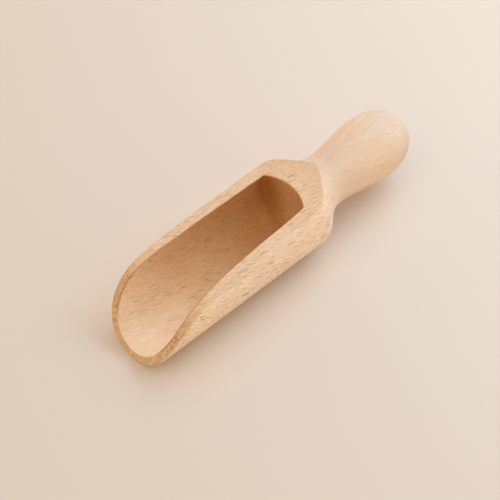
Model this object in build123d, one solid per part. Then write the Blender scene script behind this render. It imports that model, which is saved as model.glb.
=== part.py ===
from build123d import *
import math
import os

# A turned wooden scoop: a drilled bowl with one long open side and a slanting
# lip, a rounded shoulder, a narrow neck and a club-shaped grip. It is all one
# piece of wood.
#
# The profiles are drawn in the turning frame: x runs along the turning axis
# towards the grip, and heights and radii are measured from that axis. At the
# end the scoop is laid on its belly: +X towards the grip, +Z up out of the
# bowl, and the origin on the surface it lies on, under the middle of its box.
# All dimensions are millimetres.

# ---- driving dimensions -------------------------------------------------
# Outside of the bowl: a very slight cone, straight from the lip to the shoulder.
body_radius_at_0 = 20.634      # outside radius at x = 0
body_taper = 0.005708          # radius gained per millimetre towards the lip
billet_front_x = -96.0         # front end of the billet, ahead of the lip

# Bore: a very slight cone too, opening to the front, with a domed far end.
bore_radius_at_0 = 15.746      # inside radius at x = 0
bore_taper = 0.01415           # radius gained per millimetre towards the lip
bore_end_x = -6.356            # where the straight wall meets the dome
dome_radius = 24.11            # spherical radius of the domed end
bore_corner_round = 1.5        # round where the wall meets the dome

# Side profile of the opening, cut straight across the scoop: a flat land behind
# the bowl, then a cubic curve that dips along the rim and drops at the lip.
# The poles are (x, height over the axis). The land carries on straight behind
# the first one, in the direction from the second pole to the first.
opening_poles = [
    (1.65, 11.04), (-10.39, 9.52), (-28.74, 9.32), (-46.38, 7.89), (-58.82, 6.54),
    (-71.36, 3.76), (-83.47, -5.38), (-93.05, -18.27), (-94.85, -31.38),
]

# Shoulder, neck and grip: the poles of a cubic curve, (x, radius). The first two
# lie on the side of the body, and the last two make the grip's end round.
grip_start_x = -4.13
grip_second_x = -0.09
grip_poles = [
    (2.30, 18.90), (4.95, 16.29), (8.21, 13.07), (14.74, 10.25), (33.10, 14.39),
    (46.73, 14.31), (55.70, 8.63), (57.52, 3.20), (57.52, 0.0),
]

rim_outer_round = 1.0          # sanded outer edge of the opening
rim_inner_round = 0.45         # sanded inner edge of the opening


def clamped_knots(count, degree=3):
    """Evenly spaced knots for a curve that starts and ends on its end poles."""
    spans = count - degree
    return [0.0] * degree + [i / spans for i in range(spans + 1)] + [1.0] * degree


def body_radius(x):
    return body_radius_at_0 - body_taper * x


def bore_radius(x):
    return bore_radius_at_0 - bore_taper * x


# ---- turned outside -----------------------------------------------------
outside_poles = [
    (grip_start_x, body_radius(grip_start_x)),
    (grip_second_x, body_radius(grip_second_x)),
] + grip_poles
with BuildSketch(Plane.XZ) as turned:
    with BuildLine():
        front_axis = (billet_front_x, 0)
        Polyline(front_axis, (billet_front_x, body_radius(billet_front_x)), outside_poles[0])
        BSpline(outside_poles, clamped_knots(len(outside_poles)), 3)
        Line(outside_poles[-1], front_axis)
    make_face()
billet = revolve(turned.sketch, axis=Axis.X)

# ---- bore with a domed end ----------------------------------------------
bore_end_radius = bore_radius(bore_end_x)
dome_centre_x = bore_end_x - math.sqrt(dome_radius ** 2 - bore_end_radius ** 2)
dome_apex_x = dome_centre_x + dome_radius
half = bore_end_radius / 2
dome_mid = (dome_centre_x + math.sqrt(dome_radius ** 2 - half ** 2), half)
bore_front_x = billet_front_x - 4.0
with BuildSketch(Plane.XZ) as drilled:
    with BuildLine():
        Polyline((bore_front_x, 0), (bore_front_x, bore_radius(bore_front_x)),
                 (bore_end_x, bore_end_radius))
        ThreePointArc((bore_end_x, bore_end_radius), dome_mid, (dome_apex_x, 0))
        Line((dome_apex_x, 0), (bore_front_x, 0))
    make_face()
bore = revolve(drilled.sketch, axis=Axis.X)

# ---- opening: everything above the side profile -------------------------
land_slope = ((opening_poles[0][1] - opening_poles[1][1])
              / (opening_poles[0][0] - opening_poles[1][0]))
back_x, top_z, front_x = 32.0, 34.0, billet_front_x - 6.0
back_z = opening_poles[0][1] + land_slope * (back_x - opening_poles[0][0])
half_width = 30.0
with BuildSketch(Plane.XZ.offset(-half_width)) as side:
    with BuildLine():
        BSpline(opening_poles, clamped_knots(len(opening_poles)), 3)
        Polyline(opening_poles[-1], (front_x, opening_poles[-1][1]), (front_x, top_z),
                 (back_x, top_z), (back_x, back_z), opening_poles[0])
    make_face()
opening = extrude(side.sketch, amount=2 * half_width)

scoop = billet - bore - opening


# ---- rounds -------------------------------------------------------------
def is_bore_corner(edge):
    p = edge @ 0.5
    return abs(p.X - bore_end_x) < 0.05 and abs(math.hypot(p.Y, p.Z) - bore_end_radius) < 0.05


def rim_edges(shape, inner):
    """Edges of the cut faces: the inner ones border the bore, the others the outside."""
    found = []
    for face in shape.faces():
        if face.geom_type not in (GeomType.EXTRUSION, GeomType.PLANE):
            continue
        for edge in face.edges():
            p = edge @ 0.5
            if edge.geom_type == GeomType.LINE or any(edge.is_same(e) for e in found):
                continue
            borders_bore = math.hypot(p.Y, p.Z) < 18.0 and p.X < dome_apex_x
            if borders_bore == inner:
                found.append(edge)
    return found


scoop = scoop.fillet(bore_corner_round, [e for e in scoop.edges() if is_bore_corner(e)])
scoop = scoop.fillet(rim_outer_round, rim_edges(scoop, inner=False))
scoop = scoop.fillet(rim_inner_round, rim_edges(scoop, inner=True))

# ---- laid on its belly --------------------------------------------------
# The belly is a straight line of the cone, so the scoop is tipped by the cone's
# half angle to bring that line level, and set down on it.
belly_angle = math.degrees(math.atan(body_taper))
scoop = scoop.rotate(Axis.Y, belly_angle)
box = scoop.bounding_box()
scoop = Pos(-(box.min.X + box.max.X) / 2, 0, -box.min.Z) * scoop

os.makedirs("parts", exist_ok=True)
scoop.label = "scoop"
export_step(scoop, "parts/scoop.step")

box = scoop.bounding_box()
centre = scoop.center(CenterOf.MASS)
print("valid", scoop.is_valid, "solids", len(scoop.solids()), "faces", len(scoop.faces()))
print("volume mm3", round(scoop.volume, 1))
print("x", round(box.min.X, 3), round(box.max.X, 3), "y", round(box.min.Y, 3), round(box.max.Y, 3),
      "z", round(box.min.Z, 3), round(box.max.Z, 3))
print("centre of mass", round(centre.X, 3), round(centre.Y, 3), round(centre.Z, 3))
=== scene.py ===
import math

import bpy
import numpy as np
from mathutils import Matrix, Vector


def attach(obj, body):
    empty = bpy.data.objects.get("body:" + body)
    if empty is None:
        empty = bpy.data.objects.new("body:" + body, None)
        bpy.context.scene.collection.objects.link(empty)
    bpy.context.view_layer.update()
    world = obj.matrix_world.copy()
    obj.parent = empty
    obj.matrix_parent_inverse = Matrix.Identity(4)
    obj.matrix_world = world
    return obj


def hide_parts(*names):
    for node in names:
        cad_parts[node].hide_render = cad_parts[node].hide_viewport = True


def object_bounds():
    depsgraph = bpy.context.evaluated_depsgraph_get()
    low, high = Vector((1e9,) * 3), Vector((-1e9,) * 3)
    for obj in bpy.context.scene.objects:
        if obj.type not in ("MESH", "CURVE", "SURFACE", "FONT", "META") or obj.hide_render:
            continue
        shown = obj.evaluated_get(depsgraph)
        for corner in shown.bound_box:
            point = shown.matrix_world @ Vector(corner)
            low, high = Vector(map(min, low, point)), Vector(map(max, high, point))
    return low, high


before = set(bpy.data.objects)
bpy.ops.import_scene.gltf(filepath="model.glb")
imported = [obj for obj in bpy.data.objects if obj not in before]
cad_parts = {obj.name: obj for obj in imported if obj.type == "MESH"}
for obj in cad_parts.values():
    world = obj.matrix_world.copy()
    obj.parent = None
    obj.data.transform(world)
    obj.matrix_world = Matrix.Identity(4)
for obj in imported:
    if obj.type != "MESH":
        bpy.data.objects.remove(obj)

cad_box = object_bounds()

# ---- the scoop's surface --------------------------------------------------
# It follows the same profiles as the solid, in millimetres in the turning
# frame: x along the turning axis towards the grip, z up out of the bowl.
BODY_R0, BODY_TAPER = 20.634, 0.005708
BORE_R0, BORE_TAPER, BORE_END, DOME_R, CORNER = 15.746, 0.01415, -6.356, 24.11, 1.5
OPENING = [(1.65, 11.04), (-10.39, 9.52), (-28.74, 9.32), (-46.38, 7.89), (-58.82, 6.54),
           (-71.36, 3.76), (-83.47, -5.38), (-93.05, -18.27), (-94.85, -31.38)]
GRIP = [(-4.13, 20.658), (-0.09, 20.635), (2.30, 18.90), (4.95, 16.29), (8.21, 13.07), (14.74, 10.25),
        (33.10, 14.39), (46.73, 14.31), (55.70, 8.63), (57.52, 3.20), (57.52, 0.0)]
RIM_OUT, RIM_IN = 1.0, 0.45
BELLY_ANGLE = math.atan(BODY_TAPER)
BELLY_DROP = BODY_R0 * math.cos(BELLY_ANGLE)


def spline(poles, n):
    """Points along a clamped cubic B-spline with evenly spaced knots."""
    p = np.array(poles, float)
    k, m = 3, len(p) - 3
    t = np.r_[[0.0] * k, np.linspace(0, 1, m + 1), [1.0] * k]
    u = np.linspace(0, 1, n)
    s = np.minimum(k + (u * m).astype(int), len(p) - 1)
    d = [p[s - k + j] for j in range(k + 1)]
    for r in range(1, k + 1):
        for j in range(k, r - 1, -1):
            a0, a1 = t[j + s - k], t[j + 1 + s - r]
            w = ((u - a0) / np.maximum(a1 - a0, 1e-12))[:, None]
            d[j] = (1 - w) * d[j - 1] + w * d[j]
    return d[k]


class Distance:
    """Signed distance to a line in a plane, above 0 on its left, and the direction in
    which it grows, both read from a fine table."""

    def __init__(self, line, low, high, step, reach=6.0):
        self.low, self.step = low, step
        xs = np.arange(low[0], high[0] + step, step)
        zs = np.arange(low[1], high[1] + step, step)
        a, d = line[:-1], np.diff(line, axis=0)
        l2 = (d ** 2).sum(1)
        n = np.stack([-d[:, 1], d[:, 0]], 1) / np.sqrt(l2)[:, None]
        corner = np.zeros((len(line), 2))
        corner[:-1] += n
        corner[1:] += n
        lo = np.minimum(a[:, 0], line[1:, 0])
        hi = np.maximum(a[:, 0], line[1:, 0])
        value = np.empty((len(xs), len(zs)))
        for i, x in enumerate(xs):
            k = np.nonzero((hi > x - reach) & (lo < x + reach))[0]
            q = np.stack([np.full(len(zs), x), zs], 1)[:, None] - a[k][None]
            t = np.clip((q * d[k]).sum(2) / l2[k], 0, 1)
            e = q - t[..., None] * d[k]
            s = (e ** 2).sum(2)
            j = s.argmin(1)
            r = np.arange(len(zs))
            w = t[r, j][:, None]
            side = (e[r, j] * (corner[k[j]] * (1 - w) + corner[k[j] + 1] * w)).sum(1)
            value[i] = np.sqrt(s[r, j]) * np.where(side < 0, -1, 1)
        gx, gz = np.gradient(value, step)
        self.table = np.stack([value, gx, gz], -1)

    def __call__(self, x, z):
        v = self.table
        fx = np.clip((x - self.low[0]) / self.step, 0, v.shape[0] - 1.001)
        fz = np.clip((z - self.low[1]) / self.step, 0, v.shape[1] - 1.001)
        i, j = fx.astype(int), fz.astype(int)
        a, b = (fx - i)[..., None], (fz - j)[..., None]
        v = ((1 - a) * ((1 - b) * v[i, j] + b * v[i, j + 1])
             + a * ((1 - b) * v[i + 1, j] + b * v[i + 1, j + 1]))
        return v[..., 0], v[..., 1], v[..., 2]


def rounded(a, na, b, nb, r):
    """The larger of two distances, with a round of radius r where their surfaces meet, and
    the direction in which it grows."""
    c = np.clip((na * nb).sum(-1), -0.999, 0.999)
    u, v = a + r, b + r
    s = 1 - c * c
    wa, wb = (u - c * v) / s, (v - c * u) / s
    arc = (wa > 0) & (wb > 0)
    length = np.sqrt(np.maximum(u * u + v * v - 2 * c * u * v, 1e-18) / s)
    value = np.where(arc, length - r, np.maximum(a, b))
    n = np.where((a > b)[..., None], na, nb)
    n = np.where(arc[..., None], (wa[..., None] * na + wb[..., None] * nb) / length[..., None], n)
    return value, n


land_slope = (OPENING[0][1] - OPENING[1][1]) / (OPENING[0][0] - OPENING[1][0])
outside_line = np.vstack([[(-110, BODY_R0 + BODY_TAPER * 110)], spline(GRIP, 500)])
opening_line = np.vstack([[(70, OPENING[0][1] + land_slope * (70 - OPENING[0][0]))],
                          spline(OPENING, 500)])
outside = Distance(outside_line, (-98, 0), (60, 24), 0.2)
opening = Distance(opening_line, (-98, -24), (60, 24), 0.2)
bore_end_r = BORE_R0 - BORE_TAPER * BORE_END
dome_x = BORE_END - math.sqrt(DOME_R ** 2 - bore_end_r ** 2)
bore_slant = math.cos(math.atan(BORE_TAPER))


def skins(x, y, z):
    """Signed distances to the turned outside, the cut opening and the bore, under 0 in the
    wood, each with the direction in which it grows."""
    r = np.sqrt(y * y + z * z)
    away = np.maximum(r, 1e-9)
    cy, cz = y / away, z / away
    t, tx, tr = outside(x, r)
    o, ox, oz = opening(x, z)
    wall = (r - (BORE_R0 - BORE_TAPER * x)) * bore_slant
    ahead = np.maximum(x - dome_x, 0)
    far = np.maximum(np.sqrt(ahead ** 2 + r * r), 1e-9)
    n_wall = np.stack(np.broadcast_arrays(BORE_TAPER * bore_slant, bore_slant * cy, bore_slant * cz), -1)
    n_end = np.stack([ahead / far, y / far, z / far], -1)
    bore, n_bore = rounded(wall, n_wall, far - DOME_R, n_end, CORNER)
    zero = np.zeros_like(ox)
    return ((t, np.stack([tx, tr * cy, tr * cz], -1)), (-o, np.stack([-ox, zero, -oz], -1)),
            (-bore, -n_bore))


def solid(x, y, z):
    """Signed distance to the scoop, under 0 in the wood, with the direction in which it grows."""
    turned, cut, bored = skins(x, y, z)
    return rounded(*rounded(*turned, *cut, RIM_OUT), *bored, RIM_IN)


def skin_mesh(dx=0.7, dr=0.55, turns=200):
    """Points, quads and the two rings round the axis, on a grid of rings and rays."""
    xs = np.arange(-93.6, 59.0, dx)
    rs = np.arange(0, 22.1, dr)
    th = (np.arange(turns + 1) + 0.5) * (2 * math.pi / turns)
    X, R, T = np.meshgrid(xs, rs, th, indexing="ij")
    F = np.stack([solid(*g)[0] for g in zip(X, R * np.cos(T), R * np.sin(T))])
    F[:, 0, :] = F[:, 0, :1]
    F[:, :, -1] = F[:, :, 0]
    wood = F < 0
    nx, nr, nt = len(xs), len(rs), turns
    total = np.zeros((nx - 1, nr - 1, nt, 3))
    count = np.zeros((nx - 1, nr - 1, nt))
    corner = {}
    for p in [(a, b, c) for a in (0, 1) for b in (0, 1) for c in (0, 1)]:
        s = tuple(slice(o, n + o) for o, n in zip(p, (nx - 1, nr - 1, nt)))
        corner[p] = F[s], wood[s], X[s], R[s], T[s]
    for p in corner:
        for q in corner:
            if sum(q) == sum(p) + 1 and sum(abs(i - j) for i, j in zip(p, q)) == 1:
                f0, w0, f1, w1 = *corner[p][:2], *corner[q][:2]
                m = w0 != w1
                w = np.where(m, f0 / np.where(m, f0 - f1, 1), 0)
                for axis in range(3):
                    c0, c1 = corner[p][2 + axis], corner[q][2 + axis]
                    total[..., axis] += np.where(m, c0 + w * (c1 - c0), 0)
                count += m
    used = count > 0
    index = np.full(used.shape, -1)
    index[used] = np.arange(used.sum())
    v = total[used] / count[used][:, None]
    points = np.stack([v[:, 0], v[:, 1] * np.cos(v[:, 2]), v[:, 1] * np.sin(v[:, 2])], 1)
    before = (np.arange(nt) - 1) % nt
    wood = wood[:, :, :nt]
    quads = []

    def add(q, swap):
        quads.append(np.where(swap[:, None], q[:, ::-1], q))

    i, j, k = np.nonzero((wood[:-1] != wood[1:])[:, 1:-1])
    j = j + 1
    b = before[k]
    add(np.stack([index[i, j - 1, b], index[i, j, b], index[i, j, k], index[i, j - 1, k]], 1),
        ~wood[i, j, k])
    i, j, k = np.nonzero((wood[:, :-1] != wood[:, 1:])[1:-1])
    i = i + 1
    b = before[k]
    add(np.stack([index[i - 1, j, b], index[i, j, b], index[i, j, k], index[i - 1, j, k]], 1),
        wood[i, j, k])
    i, j, k = np.nonzero((wood != np.roll(wood, -1, 2))[1:-1, 1:-1])
    i, j = i + 1, j + 1
    add(np.stack([index[i - 1, j - 1, k], index[i, j - 1, k], index[i, j, k], index[i - 1, j, k]], 1),
        ~wood[i, j, k])
    poles = [(index[i, 0, :], bool(wood[i, 0, 0]))
             for i in np.nonzero(wood[:-1, 0, 0] != wood[1:, 0, 0])[0]]
    return points, np.concatenate(quads), poles


def settle(p, rounds=6):
    """Moves points onto the surface."""
    for _ in range(rounds):
        f, g = solid(*p.T)
        p = p - f[:, None] * g
    return p


def closeness(p):
    """How near a point is to an edge of the opening, or to the corner at the bore's end."""
    turned, cut, bored = (np.abs(s[0]) for s in skins(*p.T))
    r = np.hypot(p[:, 1], p[:, 2])
    corner = np.maximum(bored, np.hypot(p[:, 0] - BORE_END, r - bore_end_r) - 0.6)
    return np.minimum(np.minimum(np.maximum(turned, cut), np.maximum(cut, bored)), corner)


def refine(points, tris, within, longest):
    """Halves the edges near the scoop's sharp edges that are longer than longest."""
    e = np.sort(tris[:, [0, 1, 1, 2, 2, 0]].reshape(-1, 2), axis=1)
    edges, inverse = np.unique(e, axis=0, return_inverse=True)
    a, b = points[edges[:, 0]], points[edges[:, 1]]
    long = np.nonzero(((a - b) ** 2).sum(1) > longest ** 2)[0]
    long = long[closeness((a[long] + b[long]) / 2) < within]
    middle = np.full(len(edges), -1)
    middle[long] = len(points) + np.arange(len(long))
    points = np.vstack([points, settle((a[long] + b[long]) / 2)])
    m = middle[inverse.reshape(-1, 3)]
    count = (m >= 0).sum(1)
    t, k = tris[count == 3], m[count == 3]
    out = [tris[count == 0], k, np.c_[t[:, 0], k[:, 0], k[:, 2]], np.c_[k[:, 0], t[:, 1], k[:, 1]],
           np.c_[k[:, 2], k[:, 1], t[:, 2]]]
    for i in range(3):
        s = (count == 1) & (m[:, i] >= 0)
        t, k = np.roll(tris[s], -i, 1), m[s, i]
        out += [np.c_[t[:, 0], k, t[:, 2]], np.c_[k, t[:, 1], t[:, 2]]]
        s = (count == 2) & (m[:, i - 1] < 0)
        t, k = np.roll(tris[s], -i, 1), np.roll(m[s], -i, 1)
        flip = (((points[t[:, 0]] - points[k[:, 1]]) ** 2).sum(1)
                > ((points[t[:, 2]] - points[k[:, 0]]) ** 2).sum(1))[:, None]
        out += [np.c_[k[:, 0], t[:, 1], k[:, 1]],
                np.where(flip, np.c_[t[:, 0], k[:, 0], t[:, 2]], np.c_[t[:, 0], k[:, 0], k[:, 1]]),
                np.where(flip, np.c_[k[:, 0], k[:, 1], t[:, 2]], np.c_[t[:, 0], k[:, 1], t[:, 2]])]
    return points, np.vstack(out)


points, quads, poles = skin_mesh()
points = settle(points)
tips, fans = [], []
for ring, grip_side in poles:
    n = len(points) + len(tips)
    tips.append([points[ring, 0].mean(), 0, 0])
    fan = np.stack([ring, np.roll(ring, -1), np.full(len(ring), n)], 1)
    fans.append(fan if grip_side else fan[:, [1, 0, 2]])
points = np.vstack([points, settle(np.array(tips))])
a, b, c, d = (points[quads[:, i]] for i in range(4))
short = (((a - c) ** 2).sum(1) > ((b - d) ** 2).sum(1))[:, None]
tris = np.vstack([np.where(short, quads[:, [0, 1, 3]], quads[:, [0, 1, 2]]),
                  np.where(short, quads[:, [1, 2, 3]], quads[:, [0, 2, 3]])] + fans)
for within, longest in ((1.3, 0.62), (0.75, 0.40), (0.6, 0.30)):
    points, tris = refine(points, tris, within, longest)


def chart(points, tris):
    """Flat places in mm for every corner: the outside and the bore unrolled, the cut face
    laid out flat, and the bore's end and the grip's end as seen along the axis."""
    p = points[tris]
    mid = p.mean(1)
    (turned, _), (cut, _), (bored, _) = skins(*mid.T)
    r = np.hypot(mid[:, 1], mid[:, 2])
    on_cut = (cut > turned) & (cut > bored)
    on_bore = ~on_cut & (bored > turned)
    on_end = on_bore & (r < BORE_R0 - 0.2) & (mid[:, 0] > BORE_END)
    on_tip = ~on_cut & ~on_bore & (mid[:, 0] > 54.0)

    def length(line):
        line = line[np.argsort(line[:, 0])]
        s = np.r_[0, np.cumsum(np.hypot(*np.diff(line, axis=0).T))]
        return np.interp(p[..., 0], line[:, 0], s) - np.interp(-94.0, line[:, 0], s)

    def turn(down):
        """Angle round the axis, without a jump inside a triangle."""
        c = np.arctan2(mid[:, 1], mid[:, 2] * down)[:, None]
        t = np.arctan2(p[..., 1], p[..., 2] * down)
        return t + 2 * math.pi * np.round((c - t) / (2 * math.pi))

    flat = np.stack([length(outside_line), turn(1) * 20.5 + 66.5], -1)
    flat[on_cut] = np.stack([p[..., 1] + 184.5, length(opening_line) + 1], -1)[on_cut]
    flat[on_bore] = np.stack([p[..., 0] + 95.0, turn(-1) * 15.9 + 170.0], -1)[on_bore]
    flat[on_end] = np.stack([p[..., 1] + 120.0, p[..., 2] + 170.0], -1)[on_end]
    flat[on_tip] = np.stack([p[..., 1] + 150.0, p[..., 2] + 170.0], -1)[on_tip]
    return flat


# Laid on its belly in the part's own frame, in metres.
ca, sa = math.cos(BELLY_ANGLE), math.sin(BELLY_ANGLE)
lay = np.array([[ca, 0, sa], [0, 1, 0], [-sa, 0, ca]])
row = points @ lay.T + (0, 0, BELLY_DROP)
SHIFT = 1000 * cad_box[1][0] - row[:, 0].max()
row[:, 0] += SHIFT
(turned, _), (cut, _), (bored, _) = skins(*points.T)
facing_out = solid(*points.T)[1]
facing_out = (facing_out / np.linalg.norm(facing_out, axis=1)[:, None]) @ lay.T

mesh = bpy.data.meshes.new("wooden_scoop")
mesh.from_pydata((row / 1000).tolist(), [], tris.tolist())
flat = mesh.uv_layers.new(name="OFBake")
flat.data.foreach_set("uv", (chart(points, tris) / 208.0).ravel())


def soft(value, low, high):
    t = np.clip((value - low) / (high - low), 0, 1)
    return t * t * (3 - 2 * t)


# Where the wood was bored, where it was cut open, and how near an edge is; 'corner' marks where painted shade darkens
# the far corner at the bore's end.
for name, value in (("bore", soft(bored, -0.40, -0.12)),
                    ("cut", soft(cut, -0.80, -0.30) * soft(bored, -0.12, -0.40)),
                    ("edge", 1 - soft(closeness(points), 0.0, 0.9)),
                    ("inner", 1 - soft(np.hypot(cut, bored * np.where(points[:, 1] < 0, 0.65, 1.0)), 0.20, 0.62)),
                    ("corner", soft(row[:, 1], 3.0, 13.0) * np.exp(-((row[:, 0] - 12.8) / 3.6) ** 2))):
    mesh.attributes.new(name, "FLOAT", "POINT").data.foreach_set("value", value)
mesh.shade_smooth()
mesh.normals_split_custom_set_from_vertices(facing_out.tolist())
scoop = bpy.data.objects.new("wooden_scoop", mesh)
bpy.context.scene.collection.objects.link(scoop)


# ---- the wood -------------------------------------------------------------
# Tones of the wood, and what each kind of surface does to them.
LIGHT, DARK = (0.875, 0.688, 0.555, 1), (0.726, 0.488, 0.347, 1)
CUT, LIP = (0.945, 0.880, 0.775, 1), (0.93, 1.02, 1.07, 1)
# Bore tones: partly the rougher bored wood and partly painted shade deepening towards the bore's end, with painted
# light on the bore's floor by the lip.
PAINTED_LIGHT_BORE_LIP, BORE, BORE_END = (1.10, 1.11, 1.05, 1), (0.90, 0.79, 0.58, 1), (0.765, 0.557, 0.318, 1)
# Painted shade on the bore's far side and in its far corner at the end; the last tone lifts the painted shade on the
# bore's end face.
PAINTED_SHADE_BORE_FAR_SIDE, PAINTED_SHADE_BORE_CORNER, DOME = (0.90, 0.82, 0.75, 1), (0.64, 0.45, 0.20, 1), (1.03, 1.13, 1.38, 1)
# The grip's own tone, then painted shade on the grip's end and on the neck.
GRIP_TONE, PAINTED_SHADE_GRIP_END, PAINTED_SHADE_NECK = (0.940, 0.922, 0.900, 1), (0.90, 0.93, 0.97, 1), (0.95, 0.955, 0.975, 1)
KNOT = (-47.4, 16.5, 23.3)
DASH, DASH_SIDE = (0.43, 0.300, 0.185, 1), (1.12, 1.13, 1.15, 1)


def beech():
    mat = bpy.data.materials.new("sanded_beech")
    mat.use_nodes = True
    tree = mat.node_tree
    tree.nodes.clear()
    nodes, links = tree.nodes, tree.links

    def node(kind, **values):
        n = nodes.new(kind)
        for k, v in values.items():
            setattr(n, k, v)
        return n

    def put(target, value):
        if isinstance(value, bpy.types.NodeSocket):
            links.new(value, target)
        else:
            target.default_value = value

    def math_(op, a, b=None, c=None, clamp=False):
        n = node("ShaderNodeMath", operation=op, use_clamp=clamp)
        for s, v in zip(n.inputs, (a, b, c)):
            if v is not None:
                put(s, v)
        return n.outputs[0]

    def vec(op, a, b=None, out=0):
        n = node("ShaderNodeVectorMath", operation=op)
        put(n.inputs[0], a)
        if b is not None:
            put(n.inputs[1], b)
        return n.outputs[out]

    def dot(a, b):
        return vec("DOT_PRODUCT", a, b, 1)

    def ramp(value, low, high, to_low=0.0, to_high=1.0, smooth=True):
        n = node("ShaderNodeMapRange", interpolation_type="SMOOTHSTEP" if smooth else "LINEAR")
        put(n.inputs["Value"], value)
        for name, v in (("From Min", low), ("From Max", high), ("To Min", to_low), ("To Max", to_high)):
            put(n.inputs[name], v)
        return n.outputs[0]

    def join(x, y, z):
        n = node("ShaderNodeCombineXYZ")
        for s, v in zip(n.inputs, (x, y, z)):
            put(s, v)
        return n.outputs[0]

    def noise(vector, scale=1.0, detail=2.0, rough=0.5, out="Fac"):
        n = node("ShaderNodeTexNoise")
        put(n.inputs["Vector"], vector)
        n.inputs["Scale"].default_value = scale
        n.inputs["Detail"].default_value = detail
        n.inputs["Roughness"].default_value = rough
        return n.outputs[out]

    def cells(vector, out="Distance", feature="F1", randomness=1.0):
        n = node("ShaderNodeTexVoronoi", feature=feature)
        put(n.inputs["Vector"], vector)
        n.inputs["Scale"].default_value = 1.0
        n.inputs["Randomness"].default_value = randomness
        return n

    def mix(fac, a, b, blend="MIX"):
        n = node("ShaderNodeMix", data_type="RGBA", blend_type=blend)
        put(n.inputs[0], fac)
        put(n.inputs[6], a)
        put(n.inputs[7], b)
        return n.outputs[2]

    coords = node("ShaderNodeTexCoord")
    geo = node("ShaderNodeNewGeometry")
    place = vec("SCALE", coords.outputs["Object"])
    place.node.inputs["Scale"].default_value = 1000.0      # millimetres
    split = node("ShaderNodeSeparateXYZ")
    put(split.inputs[0], place)
    x, y = split.outputs["X"], split.outputs["Y"]

    def marked(name):
        n = node("ShaderNodeAttribute", attribute_type="GEOMETRY", attribute_name=name)
        return n.outputs["Fac"]

    bore, cut, edge, inner = marked("bore"), marked("cut"), marked("edge"), marked("inner")
    corner = marked("corner")

    grain = Vector((1.0, -0.15, -0.21)).normalized()
    radial = Vector((0.0, -0.62, 0.78))
    radial = (radial - grain * radial.dot(grain)).normalized()
    tangent = grain.cross(radial)

    # The fibres wander: slowly over the whole piece, and by a hair from dash to dash.
    def wander(offset, scale, size):
        n = noise(vec("ADD", place, offset), scale, 2.0)
        return math_("MULTIPLY", math_("SUBTRACT", n, 0.5), size)

    along = dot(place, tuple(grain))
    across = math_("ADD", dot(place, tuple(tangent)),
                   math_("ADD", wander((0.0, 0.0, 0.0), 0.030, 9.0), wander((9.0, 3.0, 5.0), 0.20, 0.6)))
    depth = math_("ADD", dot(place, tuple(radial)),
                  math_("ADD", wander((37.0, 11.0, 5.0), 0.045, 9.0), wander((5.0, 8.0, 2.0), 0.20, 0.6)))

    def grid(length, width, deep, shift=0.0):
        return join(math_("DIVIDE", math_("ADD", along, shift), length),
                    math_("DIVIDE", math_("ADD", across, shift), width),
                    math_("DIVIDE", math_("ADD", depth, shift), deep))

    # Rays: thin dark spindles along the grain on the faces that cut across them,
    # with a hair of paler wood beside each one.
    def rays(length, width, deep, shift, low, high, few, many):
        n = cells(grid(length, width, deep, shift))
        distance = n.outputs["Distance"]
        pick = node("ShaderNodeSeparateColor")
        put(pick.inputs[0], n.outputs["Color"])
        chosen = ramp(pick.outputs[0], few, many)
        dark = ramp(distance, low, high, 1.0, 0.0)
        pale = math_("MULTIPLY", ramp(distance, low, high), ramp(distance, high, high + 0.20, 1.0, 0.0))
        return math_("MULTIPLY", dark, chosen), math_("MULTIPLY", pale, chosen)

    near_lip = math_("MULTIPLY", ramp(x, -64.0, -46.0, 1.0, 0.0), math_("SUBTRACT", 1.0, bore))
    where = ramp(noise(grid(24.0, 5.0, 5.0, 11.0), 1.0, 2.0), 0.38, 0.60)
    where = math_("MAXIMUM", where, math_("MULTIPLY", near_lip, 0.9))
    long_rays, long_pale = rays(12.0, 0.64, 5.0, 0.0, 0.11, 0.29, 0.15, 0.45)
    short_rays, short_pale = rays(8.0, 0.52, 4.0, 31.0, 0.11, 0.31, 0.20, 0.65)
    hairs, hair_pale = rays(18.0, 0.74, 6.0, 57.0, 0.07, 0.20, 0.25, 0.55)
    flecks = ramp(noise(grid(3.8, 0.34, 0.9, 5.0), 1.0, 2.0, 0.55), 0.56, 0.72)
    long_rays = math_("MULTIPLY", long_rays, ramp(x, 15.0, 34.0, 1.0, 0.30))
    ray = math_("MAXIMUM", math_("MULTIPLY", long_rays, ramp(where, 0.0, 1.0, 0.45, 1.0)),
                math_("MAXIMUM", math_("MULTIPLY", short_rays, ramp(where, 0.0, 1.0, 0.50, 0.80)),
                      math_("MULTIPLY", hairs, ramp(x, 15.0, 34.0, 0.90, 0.45))))
    crowd = math_("ADD", ramp(where, 0.0, 1.0, 0.15, 0.45),
                  math_("ADD", math_("MULTIPLY", near_lip, 0.40), ramp(x, 15.0, 34.0, 0.0, 0.25)))
    ray = math_("MAXIMUM", ray, math_("MULTIPLY", flecks, crowd))
    pale = math_("MAXIMUM", long_pale, math_("MAXIMUM", short_pale, hair_pale))

    # Fibres, growth rings and patches of tone.
    fibre = noise(grid(4.5, 0.40, 0.46), 1.0, 3.0, 0.60)
    strand = noise(grid(14.0, 1.6, 1.8, 7.0), 1.0, 2.0, 0.50)
    rings = noise(grid(160.0, 30.0, 2.1), 1.0, 2.0, 0.55)
    patches = noise(place, 0.055, 2.0, 0.5)
    pores = noise(place, 2.6, 2.0, 0.6)

    facing = math_("ABSOLUTE", dot(geo.outputs["Normal"], tuple(grain)))
    end_grain = ramp(facing, 0.30, 0.92)
    on_grip = ramp(x, 15.0, 34.0)
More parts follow.
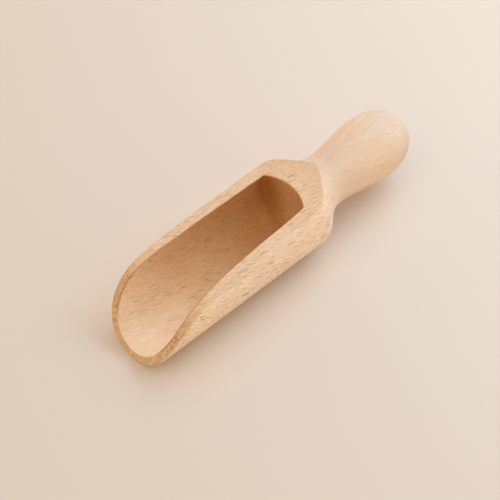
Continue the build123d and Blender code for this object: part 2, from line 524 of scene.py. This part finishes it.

    # Base tone, then what each kind of surface does to it: the turned outside is
    # pale, the sawn face a little deeper and its lip deeper again, and the bored
    # wall is darker, partly as rougher bored wood and partly as painted shade that
    # deepens towards the bore's end, with painted light on the bore's floor by the lip.
    open_grain = math_("SUBTRACT", math_("ADD", 0.75, math_("MULTIPLY", cut, 0.45)), math_("MULTIPLY", on_grip, 0.35))
    tone = math_("ADD", math_("MULTIPLY", math_("SUBTRACT", fibre, 0.5), open_grain),
                 math_("ADD", math_("MULTIPLY", strand, math_("SUBTRACT", 0.30, math_("MULTIPLY", on_grip, 0.16))),
                       math_("ADD", math_("MULTIPLY", rings, 0.25), math_("MULTIPLY", patches, 0.40))))
    tone = math_("ADD", tone, math_("MULTIPLY", on_grip, 0.08))
    colour = mix(ramp(tone, 0.22, 0.74, 1.0, 0.0, smooth=False), LIGHT, DARK)
    colour = mix(cut, colour, CUT, "MULTIPLY")
    colour = mix(math_("MULTIPLY", cut, ramp(x, -70.0, -56.0, 1.0, 0.0)), colour, LIP, "MULTIPLY")
    # Painted light on the bore's floor by the lip, then painted shade deepening towards the bore's end.
    bore_tone_and_shade = mix(ramp(x, -68.0, -28.0), PAINTED_LIGHT_BORE_LIP, BORE)
    bore_tone_and_shade = mix(ramp(x, -36.0, -6.0), bore_tone_and_shade, BORE_END)
    # Painted shade on the bore's far side, fading out towards the bore's end.
    bore_tone_and_shade = mix(math_("MULTIPLY", ramp(y, -4.0, 11.0), ramp(x, -40.0, -6.0, 1.0, 0.0)), bore_tone_and_shade, PAINTED_SHADE_BORE_FAR_SIDE,
                 "MULTIPLY")
    # The painted shade is lifted on the bore's end face.
    bore_tone_and_shade = mix(ramp(x, 11.0, 14.5), bore_tone_and_shade, DOME, "MULTIPLY")
    # Painted shade in the far corner at the bore's end.
    bore_tone_and_shade = mix(corner, bore_tone_and_shade, PAINTED_SHADE_BORE_CORNER, "MULTIPLY")
    colour = mix(bore, colour, bore_tone_and_shade, "MULTIPLY")
    colour = mix(on_grip, colour, GRIP_TONE, "MULTIPLY")
    # Painted shade on the grip's end.
    colour = mix(ramp(x, 52.0, 72.0), colour, PAINTED_SHADE_GRIP_END, "MULTIPLY")
    # Painted shade darkening the neck, outside the cut.
    at_neck = math_("MULTIPLY", ramp(x, 16.0, 27.0), ramp(x, 31.0, 48.0, 1.0, 0.0))
    colour = mix(math_("MULTIPLY", at_neck, math_("SUBTRACT", 1.0, cut)), colour, PAINTED_SHADE_NECK, "MULTIPLY")
    colour = mix(math_("MULTIPLY", end_grain, math_("ADD", 0.10, math_("MULTIPLY", cut, 0.40))),
                 colour, (0.66, 0.42, 0.235, 1))
    mottle = math_("MULTIPLY", ramp(pores, 0.40, 0.60, 0.80, 0.0),
                   math_("MULTIPLY", end_grain, math_("ADD", 0.10, cut), clamp=True))
    colour = mix(mottle, colour, (0.58, 0.48, 0.36, 1), "MULTIPLY")
    clumps = noise(place, 0.75, 2.0, 0.6)
    on_lip = math_("MULTIPLY", end_grain, cut)
    colour = mix(math_("MULTIPLY", on_lip, ramp(clumps, 0.36, 0.52, 0.60, 0.0)), colour, (0.78, 0.64, 0.47, 1), "MULTIPLY")
    colour = mix(math_("MULTIPLY", on_lip, ramp(clumps, 0.50, 0.64, 0.0, 0.55)), colour, (1.16, 1.22, 1.28, 1), "MULTIPLY")
    far_land = math_("MULTIPLY", cut, math_("MULTIPLY", ramp(x, 6.0, 14.0), ramp(y, 2.0, 12.0)))
    colour = mix(far_land, colour, (0.96, 0.92, 0.91, 1), "MULTIPLY")
    # Painted light on the outside wall towards the lip.
    front_painted_light = math_("MULTIPLY", ramp(x, -56.0, -30.0, 1.0, 0.0), math_("SUBTRACT", 1.0, math_("MAXIMUM", bore, cut)))
    colour = mix(front_painted_light, colour, (1.05, 1.06, 1.03, 1), "MULTIPLY")
    by_lip = math_("MULTIPLY", ramp(x, -68.0, -58.0, 1.0, 0.0), math_("SUBTRACT", 1.0, math_("MAXIMUM", bore, cut)))
    colour = mix(by_lip, colour, (0.95, 0.90, 0.84, 1), "MULTIPLY")
    # Painted light: the dark dashes fade on the bore's floor by the lip, on the near side.
    painted_light_fade = math_("MULTIPLY", bore, math_("MULTIPLY", ramp(x, -60.0, -46.0, 1.0, 0.0), ramp(y, -1.0, 8.0, 1.0, 0.0)))
    fade = math_("SUBTRACT", 1.0, math_("ADD", math_("MULTIPLY", on_grip, ramp(where, 0.0, 1.0, 0.90, 0.58)),
                                        math_("ADD", math_("MULTIPLY", bore, 0.32), math_("MULTIPLY", cut, 0.10))))
    fade = math_("SUBTRACT", fade, math_("MULTIPLY", painted_light_fade, 0.34))
    colour = mix(math_("MULTIPLY", pale, fade), colour, DASH_SIDE, "MULTIPLY")
    colour = mix(math_("MULTIPLY", ray, fade), colour, DASH, "MULTIPLY")
    line = math_("MULTIPLY", ramp(x, -71.0, -67.0, 0.0, 0.75), ramp(x, -44.0, -34.0, 1.0, 0.0))
    colour = mix(math_("MULTIPLY", inner, line), colour, (0.50, 0.35, 0.22, 1), "MULTIPLY")
    knot = ramp(vec("DISTANCE", place, KNOT, 1), 0.25, 0.95, 0.75, 0.0)
    colour = mix(knot, colour, (0.46, 0.33, 0.16, 1), "MULTIPLY")

    rim = math_("SUBTRACT", edge, math_("MAXIMUM", inner, bore), clamp=True)
    colour = mix(rim, colour, (0.93, 0.94, 0.96, 1), "MULTIPLY")

    height = math_("SUBTRACT", math_("ADD", math_("MULTIPLY", fibre, 0.40), math_("MULTIPLY", pores, 0.20)),
                   math_("MULTIPLY", ray, 0.60))
    bump = node("ShaderNodeBump")
    bump.inputs["Strength"].default_value = 0.22
    bump.inputs["Distance"].default_value = 0.00009
    put(bump.inputs["Height"], height)
    rough = math_("ADD", math_("ADD", 0.58, math_("MULTIPLY", bore, 0.08)),
                  math_("ADD", math_("MULTIPLY", ray, 0.08), math_("MULTIPLY", fibre, 0.10)))
    rough = math_("SUBTRACT", rough, math_("MULTIPLY", edge, 0.05))

    shader = node("ShaderNodeBsdfPrincipled")
    put(shader.inputs["Base Color"], colour)
    put(shader.inputs["Roughness"], rough)
    put(shader.inputs["Normal"], bump.outputs[0])
    shader.inputs["Specular IOR Level"].default_value = 0.22
    out = node("ShaderNodeOutputMaterial")
    links.new(shader.outputs[0], out.inputs[0])
    return mat


mesh.materials.append(beech())
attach(scoop, "root")
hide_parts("scoop")


# ---- floor, light and camera ---------------------------------------------
def plain(name, colour, rough):
    mat = bpy.data.materials.new(name)
    mat.use_nodes = True
    s = mat.node_tree.nodes["Principled BSDF"]
    s.inputs["Base Color"].default_value = (*colour, 1)
    s.inputs["Roughness"].default_value = rough
    s.inputs["Specular IOR Level"].default_value = 0.2
    return mat


floor_mesh = bpy.data.meshes.new("floor")
floor_mesh.from_pydata([(-6, -6, 0), (6, -6, 0), (6, 6, 0), (-6, 6, 0)], [], [(0, 1, 2, 3)])
floor_mesh.materials.append(plain("pale_floor", (0.763, 0.656, 0.590), 0.8))
floor = bpy.data.objects.new("floor", floor_mesh)
bpy.context.scene.collection.objects.link(floor)

# The camera looks along the photograph's direction, from the same distance.
ELEVATION, TURN, ROLL = (math.radians(v) for v in (49.634, 30.899, -11.465))
UNIT = 20.6345
back = Vector((-math.sin(TURN) * math.cos(ELEVATION), -math.cos(TURN) * math.cos(ELEVATION),
               math.sin(ELEVATION)))
side = Vector((math.cos(TURN), -math.sin(TURN), 0))
up = Vector((math.sin(TURN) * math.sin(ELEVATION), math.cos(TURN) * math.sin(ELEVATION),
             math.cos(ELEVATION)))
eye = (-1.1399 * side - 0.8107 * up + 38.335 * back) * UNIT
right = side * math.cos(ROLL) + up * math.sin(ROLL)
above = -side * math.sin(ROLL) + up * math.cos(ROLL)
tip_up = Matrix.Rotation(BELLY_ANGLE, 3, "Y")
eye, right, above, back = tip_up @ eye, tip_up @ right, tip_up @ above, tip_up @ back
camera = bpy.data.objects.new("camera", bpy.data.cameras.new("camera"))
bpy.context.scene.collection.objects.link(camera)
m = Matrix((right, above, back)).transposed().to_4x4()
m.translation = (eye + Vector((SHIFT, 0, BELLY_DROP))) / 1000
camera.matrix_world = m
camera.data.sensor_width = 36
camera.data.lens = 36 * 1923.3 / 500
camera.data.clip_start, camera.data.clip_end = 0.01, 50
bpy.context.scene.camera = camera


def area(name, place, size, power, colour=(1, 1, 1), aim=(0, 0, 0.01)):
    lamp = bpy.data.lights.new(name, "AREA")
    lamp.shape = "ELLIPSE"
    lamp.size, lamp.size_y = size
    lamp.energy = power
    lamp.color = colour
    o = bpy.data.objects.new(name, lamp)
    bpy.context.scene.collection.objects.link(o)
    o.location = place
    o.rotation_euler = (Vector(aim) - Vector(place)).to_track_quat("-Z", "Y").to_euler()
    return o


area("window", (0.520, -0.073, 0.473), (0.816, 0.424), 3.10, (0.655, 0.837, 1.0))
area("low_fill", (0.26, -0.16, 0.20), (0.30, 0.20), 0.10, (0.55, 0.80, 1.0))

# The rest of the light is a pale room: brightest low down, a little warm behind
# the lip, with a cool ceiling on the grip's side and a warm one on the other.
world = bpy.data.worlds.new("studio")
bpy.context.scene.world = world
world.use_nodes = True
wt = world.node_tree
toward = wt.nodes.new("ShaderNodeTexCoord").outputs["Generated"]
sky = None
for aim, power, strength in (((0.0, 0.0, 1.0), None, (2.72, 2.39, 1.67)),
                             ((-0.847, 0.489, 0.208), 3.0, (0.80, 0.46, 0.26)),
                             ((0.352, 0.203, 0.914), 8.0, (1.05, 1.10, 1.25)),
                             ((-0.333, -0.233, 0.914), 8.0, (1.24, 1.20, 0.92))):
    lean = wt.nodes.new("ShaderNodeVectorMath")
    lean.operation = "DOT_PRODUCT"
    lean.inputs[1].default_value = aim
    wt.links.new(toward, lean.inputs[0])
    level = wt.nodes.new("ShaderNodeMath")
    level.operation = "MAXIMUM"
    level.inputs[1].default_value = 0.0
    wt.links.new(lean.outputs[1], level.inputs[0])
    if power is None:
        low_down = wt.nodes.new("ShaderNodeMath")
        low_down.operation = "SUBTRACT"
        low_down.inputs[0].default_value = 1.0
        wt.links.new(level.outputs[0], low_down.inputs[1])
        level, power = low_down, 3.0
    shape = wt.nodes.new("ShaderNodeMath")
    shape.operation = "POWER"
    shape.inputs[1].default_value = power
    wt.links.new(level.outputs[0], shape.inputs[0])
    tint = wt.nodes.new("ShaderNodeVectorMath")
    tint.operation = "SCALE"
    tint.inputs[0].default_value = strength
    wt.links.new(shape.outputs[0], tint.inputs["Scale"])
    if sky is None:
        sky = tint.outputs[0]
    else:
        both = wt.nodes.new("ShaderNodeVectorMath")
        both.operation = "ADD"
        wt.links.new(sky, both.inputs[0])
        wt.links.new(tint.outputs[0], both.inputs[1])
        sky = both.outputs[0]
wt.links.new(sky, wt.nodes["Background"].inputs["Color"])
bpy.context.scene.view_settings.view_transform = "Standard"
